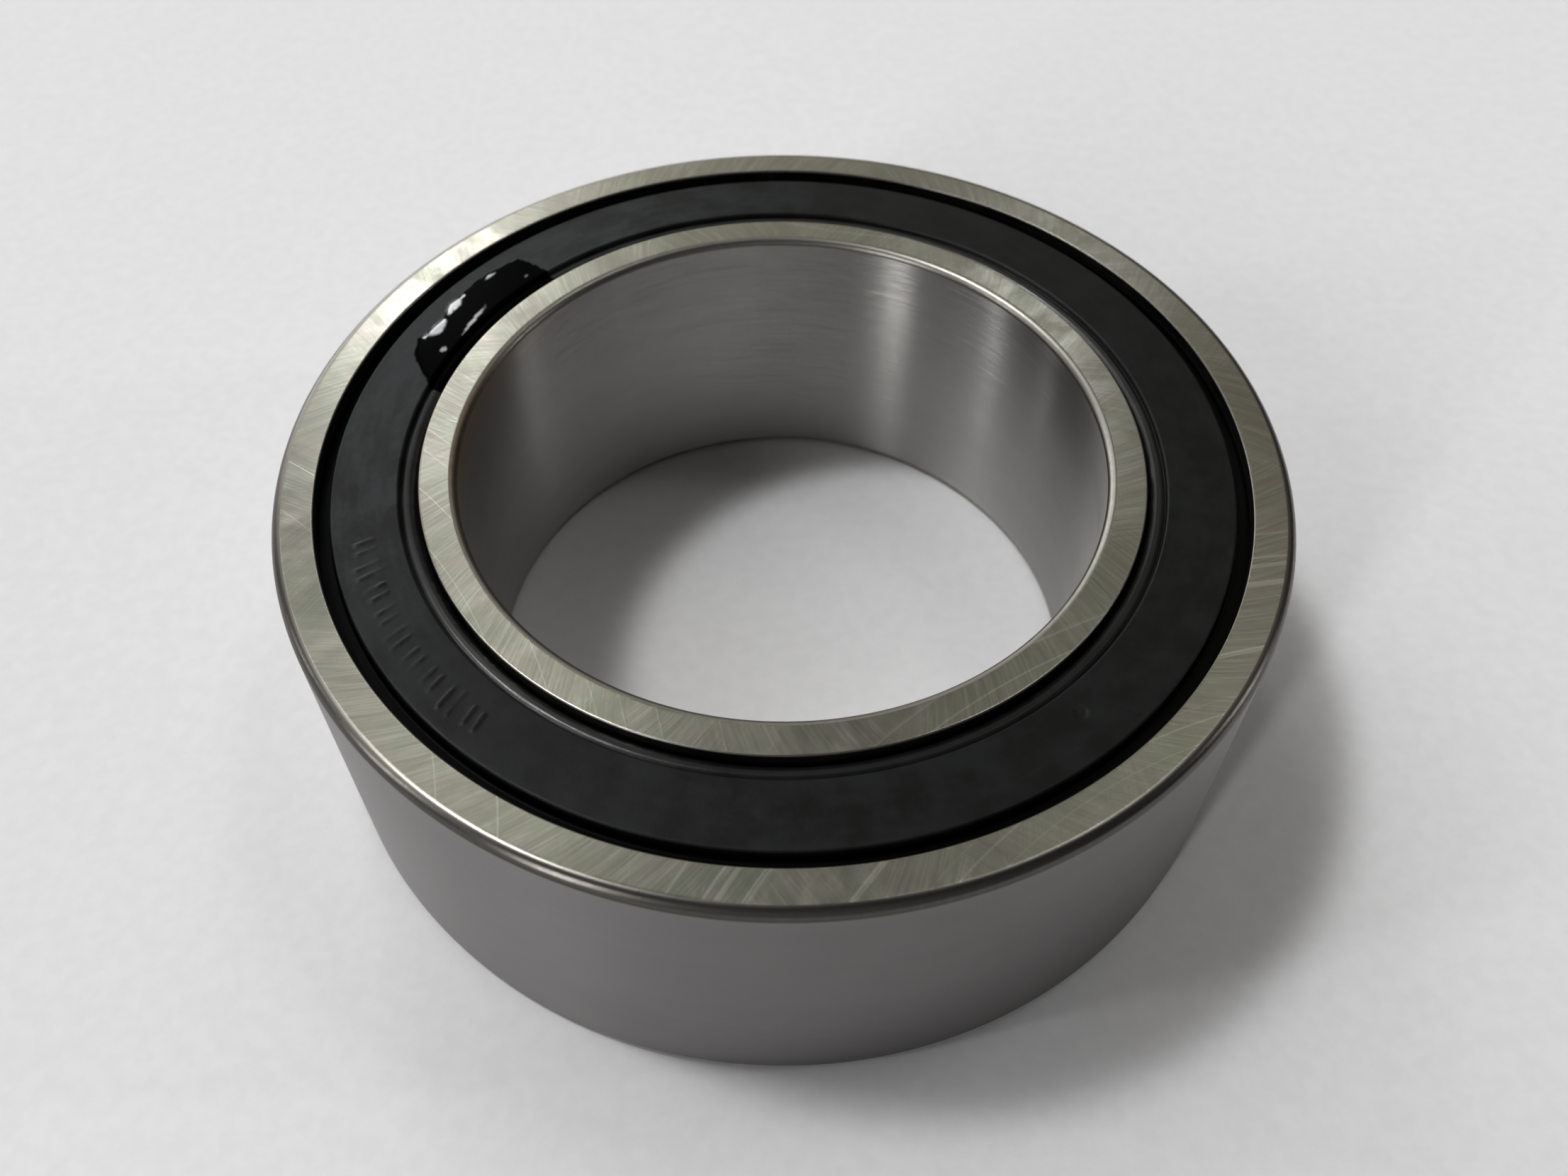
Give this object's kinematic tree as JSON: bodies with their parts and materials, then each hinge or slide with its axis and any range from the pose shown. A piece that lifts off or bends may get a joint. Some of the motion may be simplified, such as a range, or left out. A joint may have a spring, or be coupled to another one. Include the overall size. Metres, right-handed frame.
{
  "type": "double-row angular contact bearing",
  "caption": "Sealed double-row angular contact ball bearing: ground outer and inner rings, caged balls in two rows, and a dished rubber seal at each end.",
  "frame": {"origin": "centre of the bearing, on its axis and midway between its end faces", "axes": "+Z along the bearing axis, towards the upper seal; the two ends are alike"},
  "size_m": [0.062, 0.062, 0.0206],
  "materials": {
    "ring_steel": "ground bearing steel, fine lapping scratches on the faces",
    "ball_steel": "polished chromium steel",
    "cage_nylon": "moulded glass-filled nylon",
    "seal_rubber": "moulded nitrile rubber, near black, oily and dusty in patches",
    "insert_steel": "stamped steel sheet, phosphated"
  },
  "bodies": {
    "outer_ring": {"outer_ring": "ring_steel", "seal_upper": "seal_rubber", "seal_upper_insert": "insert_steel", "seal_lower": "seal_rubber", "seal_lower_insert": "insert_steel"},
    "inner_ring": {"inner_ring": "ring_steel"},
    "cage_upper": {"cage_upper": "cage_nylon"},
    "cage_lower": {"cage_lower": "cage_nylon"},
    "ball_upper_01": {"ball_upper_01": "ball_steel"},
    "ball_upper_02": {"ball_upper_02": "ball_steel"},
    "ball_upper_03": {"ball_upper_03": "ball_steel"},
    "ball_upper_04": {"ball_upper_04": "ball_steel"},
    "ball_upper_05": {"ball_upper_05": "ball_steel"},
    "ball_upper_06": {"ball_upper_06": "ball_steel"},
    "ball_upper_07": {"ball_upper_07": "ball_steel"},
    "ball_upper_08": {"ball_upper_08": "ball_steel"},
    "ball_upper_09": {"ball_upper_09": "ball_steel"},
    "ball_upper_10": {"ball_upper_10": "ball_steel"},
    "ball_upper_11": {"ball_upper_11": "ball_steel"},
    "ball_upper_12": {"ball_upper_12": "ball_steel"},
    "ball_upper_13": {"ball_upper_13": "ball_steel"},
    "ball_upper_14": {"ball_upper_14": "ball_steel"},
    "ball_upper_15": {"ball_upper_15": "ball_steel"},
    "ball_upper_16": {"ball_upper_16": "ball_steel"},
    "ball_upper_17": {"ball_upper_17": "ball_steel"},
    "ball_upper_18": {"ball_upper_18": "ball_steel"},
    "ball_upper_19": {"ball_upper_19": "ball_steel"},
    "ball_upper_20": {"ball_upper_20": "ball_steel"},
    "ball_lower_01": {"ball_lower_01": "ball_steel"},
    "ball_lower_02": {"ball_lower_02": "ball_steel"},
    "ball_lower_03": {"ball_lower_03": "ball_steel"},
    "ball_lower_04": {"ball_lower_04": "ball_steel"},
    "ball_lower_05": {"ball_lower_05": "ball_steel"},
    "ball_lower_06": {"ball_lower_06": "ball_steel"},
    "ball_lower_07": {"ball_lower_07": "ball_steel"},
    "ball_lower_08": {"ball_lower_08": "ball_steel"},
    "ball_lower_09": {"ball_lower_09": "ball_steel"},
    "ball_lower_10": {"ball_lower_10": "ball_steel"},
    "ball_lower_11": {"ball_lower_11": "ball_steel"},
    "ball_lower_12": {"ball_lower_12": "ball_steel"},
    "ball_lower_13": {"ball_lower_13": "ball_steel"},
    "ball_lower_14": {"ball_lower_14": "ball_steel"},
    "ball_lower_15": {"ball_lower_15": "ball_steel"},
    "ball_lower_16": {"ball_lower_16": "ball_steel"},
    "ball_lower_17": {"ball_lower_17": "ball_steel"},
    "ball_lower_18": {"ball_lower_18": "ball_steel"},
    "ball_lower_19": {"ball_lower_19": "ball_steel"},
    "ball_lower_20": {"ball_lower_20": "ball_steel"}
  },
  "joints": [
    {"name": "inner_ring_spin", "type": "hinge", "parent": "outer_ring", "child": "inner_ring", "pos_m": [0, 0, 0], "axis": [0, 0, 1], "continuous": true},
    {"name": "cage_upper_orbit", "type": "hinge", "parent": "outer_ring", "child": "cage_upper", "pos_m": [0, 0, 0], "axis": [0, 0, 1], "continuous": true},
    {"name": "cage_lower_orbit", "type": "hinge", "parent": "outer_ring", "child": "cage_lower", "pos_m": [0, 0, 0], "axis": [0, 0, 1], "continuous": true},
    {"name": "ball_upper_01_spin", "type": "hinge", "parent": "cage_upper", "child": "ball_upper_01", "pos_m": [0.0255, 0, 0.0036], "axis": [0.4226, 0, 0.9063], "continuous": true},
    {"name": "ball_upper_02_spin", "type": "hinge", "parent": "cage_upper", "child": "ball_upper_02", "pos_m": [0.02425, 0.00788, 0.0036], "axis": [0.4019, 0.1306, 0.9063], "continuous": true},
    {"name": "ball_upper_03_spin", "type": "hinge", "parent": "cage_upper", "child": "ball_upper_03", "pos_m": [0.02063, 0.01499, 0.0036], "axis": [0.3419, 0.2484, 0.9063], "continuous": true},
    {"name": "ball_upper_04_spin", "type": "hinge", "parent": "cage_upper", "child": "ball_upper_04", "pos_m": [0.01499, 0.02063, 0.0036], "axis": [0.2484, 0.3419, 0.9063], "continuous": true},
    {"name": "ball_upper_05_spin", "type": "hinge", "parent": "cage_upper", "child": "ball_upper_05", "pos_m": [0.00788, 0.02425, 0.0036], "axis": [0.1306, 0.4019, 0.9063], "continuous": true},
    {"name": "ball_upper_06_spin", "type": "hinge", "parent": "cage_upper", "child": "ball_upper_06", "pos_m": [0, 0.0255, 0.0036], "axis": [0, 0.4226, 0.9063], "continuous": true},
    {"name": "ball_upper_07_spin", "type": "hinge", "parent": "cage_upper", "child": "ball_upper_07", "pos_m": [-0.00788, 0.02425, 0.0036], "axis": [-0.1306, 0.4019, 0.9063], "continuous": true},
    {"name": "ball_upper_08_spin", "type": "hinge", "parent": "cage_upper", "child": "ball_upper_08", "pos_m": [-0.01499, 0.02063, 0.0036], "axis": [-0.2484, 0.3419, 0.9063], "continuous": true},
    {"name": "ball_upper_09_spin", "type": "hinge", "parent": "cage_upper", "child": "ball_upper_09", "pos_m": [-0.02063, 0.01499, 0.0036], "axis": [-0.3419, 0.2484, 0.9063], "continuous": true},
    {"name": "ball_upper_10_spin", "type": "hinge", "parent": "cage_upper", "child": "ball_upper_10", "pos_m": [-0.02425, 0.00788, 0.0036], "axis": [-0.4019, 0.1306, 0.9063], "continuous": true},
    {"name": "ball_upper_11_spin", "type": "hinge", "parent": "cage_upper", "child": "ball_upper_11", "pos_m": [-0.0255, 0, 0.0036], "axis": [-0.4226, 0, 0.9063], "continuous": true},
    {"name": "ball_upper_12_spin", "type": "hinge", "parent": "cage_upper", "child": "ball_upper_12", "pos_m": [-0.02425, -0.00788, 0.0036], "axis": [-0.4019, -0.1306, 0.9063], "continuous": true},
    {"name": "ball_upper_13_spin", "type": "hinge", "parent": "cage_upper", "child": "ball_upper_13", "pos_m": [-0.02063, -0.01499, 0.0036], "axis": [-0.3419, -0.2484, 0.9063], "continuous": true},
    {"name": "ball_upper_14_spin", "type": "hinge", "parent": "cage_upper", "child": "ball_upper_14", "pos_m": [-0.01499, -0.02063, 0.0036], "axis": [-0.2484, -0.3419, 0.9063], "continuous": true},
    {"name": "ball_upper_15_spin", "type": "hinge", "parent": "cage_upper", "child": "ball_upper_15", "pos_m": [-0.00788, -0.02425, 0.0036], "axis": [-0.1306, -0.4019, 0.9063], "continuous": true},
    {"name": "ball_upper_16_spin", "type": "hinge", "parent": "cage_upper", "child": "ball_upper_16", "pos_m": [0, -0.0255, 0.0036], "axis": [0, -0.4226, 0.9063], "continuous": true},
    {"name": "ball_upper_17_spin", "type": "hinge", "parent": "cage_upper", "child": "ball_upper_17", "pos_m": [0.00788, -0.02425, 0.0036], "axis": [0.1306, -0.4019, 0.9063], "continuous": true},
    {"name": "ball_upper_18_spin", "type": "hinge", "parent": "cage_upper", "child": "ball_upper_18", "pos_m": [0.01499, -0.02063, 0.0036], "axis": [0.2484, -0.3419, 0.9063], "continuous": true},
    {"name": "ball_upper_19_spin", "type": "hinge", "parent": "cage_upper", "child": "ball_upper_19", "pos_m": [0.02063, -0.01499, 0.0036], "axis": [0.3419, -0.2484, 0.9063], "continuous": true},
    {"name": "ball_upper_20_spin", "type": "hinge", "parent": "cage_upper", "child": "ball_upper_20", "pos_m": [0.02425, -0.00788, 0.0036], "axis": [0.4019, -0.1306, 0.9063], "continuous": true},
    {"name": "ball_lower_01_spin", "type": "hinge", "parent": "cage_lower", "child": "ball_lower_01", "pos_m": [0.02519, 0.00399, -0.0036], "axis": [-0.4174, -0.0661, 0.9063], "continuous": true},
    {"name": "ball_lower_02_spin", "type": "hinge", "parent": "cage_lower", "child": "ball_lower_02", "pos_m": [0.02272, 0.01158, -0.0036], "axis": [-0.3766, -0.1919, 0.9063], "continuous": true},
    {"name": "ball_lower_03_spin", "type": "hinge", "parent": "cage_lower", "child": "ball_lower_03", "pos_m": [0.01803, 0.01803, -0.0036], "axis": [-0.2988, -0.2988, 0.9063], "continuous": true},
    {"name": "ball_lower_04_spin", "type": "hinge", "parent": "cage_lower", "child": "ball_lower_04", "pos_m": [0.01158, 0.02272, -0.0036], "axis": [-0.1919, -0.3766, 0.9063], "continuous": true},
    {"name": "ball_lower_05_spin", "type": "hinge", "parent": "cage_lower", "child": "ball_lower_05", "pos_m": [0.00399, 0.02519, -0.0036], "axis": [-0.0661, -0.4174, 0.9063], "continuous": true},
    {"name": "ball_lower_06_spin", "type": "hinge", "parent": "cage_lower", "child": "ball_lower_06", "pos_m": [-0.00399, 0.02519, -0.0036], "axis": [0.0661, -0.4174, 0.9063], "continuous": true},
    {"name": "ball_lower_07_spin", "type": "hinge", "parent": "cage_lower", "child": "ball_lower_07", "pos_m": [-0.01158, 0.02272, -0.0036], "axis": [0.1919, -0.3766, 0.9063], "continuous": true},
    {"name": "ball_lower_08_spin", "type": "hinge", "parent": "cage_lower", "child": "ball_lower_08", "pos_m": [-0.01803, 0.01803, -0.0036], "axis": [0.2988, -0.2988, 0.9063], "continuous": true},
    {"name": "ball_lower_09_spin", "type": "hinge", "parent": "cage_lower", "child": "ball_lower_09", "pos_m": [-0.02272, 0.01158, -0.0036], "axis": [0.3766, -0.1919, 0.9063], "continuous": true},
    {"name": "ball_lower_10_spin", "type": "hinge", "parent": "cage_lower", "child": "ball_lower_10", "pos_m": [-0.02519, 0.00399, -0.0036], "axis": [0.4174, -0.0661, 0.9063], "continuous": true},
    {"name": "ball_lower_11_spin", "type": "hinge", "parent": "cage_lower", "child": "ball_lower_11", "pos_m": [-0.02519, -0.00399, -0.0036], "axis": [0.4174, 0.0661, 0.9063], "continuous": true},
    {"name": "ball_lower_12_spin", "type": "hinge", "parent": "cage_lower", "child": "ball_lower_12", "pos_m": [-0.02272, -0.01158, -0.0036], "axis": [0.3766, 0.1919, 0.9063], "continuous": true},
    {"name": "ball_lower_13_spin", "type": "hinge", "parent": "cage_lower", "child": "ball_lower_13", "pos_m": [-0.01803, -0.01803, -0.0036], "axis": [0.2988, 0.2988, 0.9063], "continuous": true},
    {"name": "ball_lower_14_spin", "type": "hinge", "parent": "cage_lower", "child": "ball_lower_14", "pos_m": [-0.01158, -0.02272, -0.0036], "axis": [0.1919, 0.3766, 0.9063], "continuous": true},
    {"name": "ball_lower_15_spin", "type": "hinge", "parent": "cage_lower", "child": "ball_lower_15", "pos_m": [-0.00399, -0.02519, -0.0036], "axis": [0.0661, 0.4174, 0.9063], "continuous": true},
    {"name": "ball_lower_16_spin", "type": "hinge", "parent": "cage_lower", "child": "ball_lower_16", "pos_m": [0.00399, -0.02519, -0.0036], "axis": [-0.0661, 0.4174, 0.9063], "continuous": true},
    {"name": "ball_lower_17_spin", "type": "hinge", "parent": "cage_lower", "child": "ball_lower_17", "pos_m": [0.01158, -0.02272, -0.0036], "axis": [-0.1919, 0.3766, 0.9063], "continuous": true},
    {"name": "ball_lower_18_spin", "type": "hinge", "parent": "cage_lower", "child": "ball_lower_18", "pos_m": [0.01803, -0.01803, -0.0036], "axis": [-0.2988, 0.2988, 0.9063], "continuous": true},
    {"name": "ball_lower_19_spin", "type": "hinge", "parent": "cage_lower", "child": "ball_lower_19", "pos_m": [0.02272, -0.01158, -0.0036], "axis": [-0.3766, 0.1919, 0.9063], "continuous": true},
    {"name": "ball_lower_20_spin", "type": "hinge", "parent": "cage_lower", "child": "ball_lower_20", "pos_m": [0.02519, -0.00399, -0.0036], "axis": [-0.4174, 0.0661, 0.9063], "continuous": true}
  ],
  "couplings": [
    {"joint": "cage_upper_orbit", "follows": "inner_ring_spin", "ratio": 0.4471},
    {"joint": "cage_lower_orbit", "follows": "inner_ring_spin", "ratio": 0.4471},
    {"joint": "ball_upper_01_spin", "follows": "inner_ring_spin", "ratio": -4.2356},
    {"joint": "ball_upper_02_spin", "follows": "inner_ring_spin", "ratio": -4.2356},
    {"joint": "ball_upper_03_spin", "follows": "inner_ring_spin", "ratio": -4.2356},
    {"joint": "ball_upper_04_spin", "follows": "inner_ring_spin", "ratio": -4.2356},
    {"joint": "ball_upper_05_spin", "follows": "inner_ring_spin", "ratio": -4.2356},
    {"joint": "ball_upper_06_spin", "follows": "inner_ring_spin", "ratio": -4.2356},
    {"joint": "ball_upper_07_spin", "follows": "inner_ring_spin", "ratio": -4.2356},
    {"joint": "ball_upper_08_spin", "follows": "inner_ring_spin", "ratio": -4.2356},
    {"joint": "ball_upper_09_spin", "follows": "inner_ring_spin", "ratio": -4.2356},
    {"joint": "ball_upper_10_spin", "follows": "inner_ring_spin", "ratio": -4.2356},
    {"joint": "ball_upper_11_spin", "follows": "inner_ring_spin", "ratio": -4.2356},
    {"joint": "ball_upper_12_spin", "follows": "inner_ring_spin", "ratio": -4.2356},
    {"joint": "ball_upper_13_spin", "follows": "inner_ring_spin", "ratio": -4.2356},
    {"joint": "ball_upper_14_spin", "follows": "inner_ring_spin", "ratio": -4.2356},
    {"joint": "ball_upper_15_spin", "follows": "inner_ring_spin", "ratio": -4.2356},
    {"joint": "ball_upper_16_spin", "follows": "inner_ring_spin", "ratio": -4.2356},
    {"joint": "ball_upper_17_spin", "follows": "inner_ring_spin", "ratio": -4.2356},
    {"joint": "ball_upper_18_spin", "follows": "inner_ring_spin", "ratio": -4.2356},
    {"joint": "ball_upper_19_spin", "follows": "inner_ring_spin", "ratio": -4.2356},
    {"joint": "ball_upper_20_spin", "follows": "inner_ring_spin", "ratio": -4.2356},
    {"joint": "ball_lower_01_spin", "follows": "inner_ring_spin", "ratio": -4.2356},
    {"joint": "ball_lower_02_spin", "follows": "inner_ring_spin", "ratio": -4.2356},
    {"joint": "ball_lower_03_spin", "follows": "inner_ring_spin", "ratio": -4.2356},
    {"joint": "ball_lower_04_spin", "follows": "inner_ring_spin", "ratio": -4.2356},
    {"joint": "ball_lower_05_spin", "follows": "inner_ring_spin", "ratio": -4.2356},
    {"joint": "ball_lower_06_spin", "follows": "inner_ring_spin", "ratio": -4.2356},
    {"joint": "ball_lower_07_spin", "follows": "inner_ring_spin", "ratio": -4.2356},
    {"joint": "ball_lower_08_spin", "follows": "inner_ring_spin", "ratio": -4.2356},
    {"joint": "ball_lower_09_spin", "follows": "inner_ring_spin", "ratio": -4.2356},
    {"joint": "ball_lower_10_spin", "follows": "inner_ring_spin", "ratio": -4.2356},
    {"joint": "ball_lower_11_spin", "follows": "inner_ring_spin", "ratio": -4.2356},
    {"joint": "ball_lower_12_spin", "follows": "inner_ring_spin", "ratio": -4.2356},
    {"joint": "ball_lower_13_spin", "follows": "inner_ring_spin", "ratio": -4.2356},
    {"joint": "ball_lower_14_spin", "follows": "inner_ring_spin", "ratio": -4.2356},
    {"joint": "ball_lower_15_spin", "follows": "inner_ring_spin", "ratio": -4.2356},
    {"joint": "ball_lower_16_spin", "follows": "inner_ring_spin", "ratio": -4.2356},
    {"joint": "ball_lower_17_spin", "follows": "inner_ring_spin", "ratio": -4.2356},
    {"joint": "ball_lower_18_spin", "follows": "inner_ring_spin", "ratio": -4.2356},
    {"joint": "ball_lower_19_spin", "follows": "inner_ring_spin", "ratio": -4.2356},
    {"joint": "ball_lower_20_spin", "follows": "inner_ring_spin", "ratio": -4.2356}
  ]
}
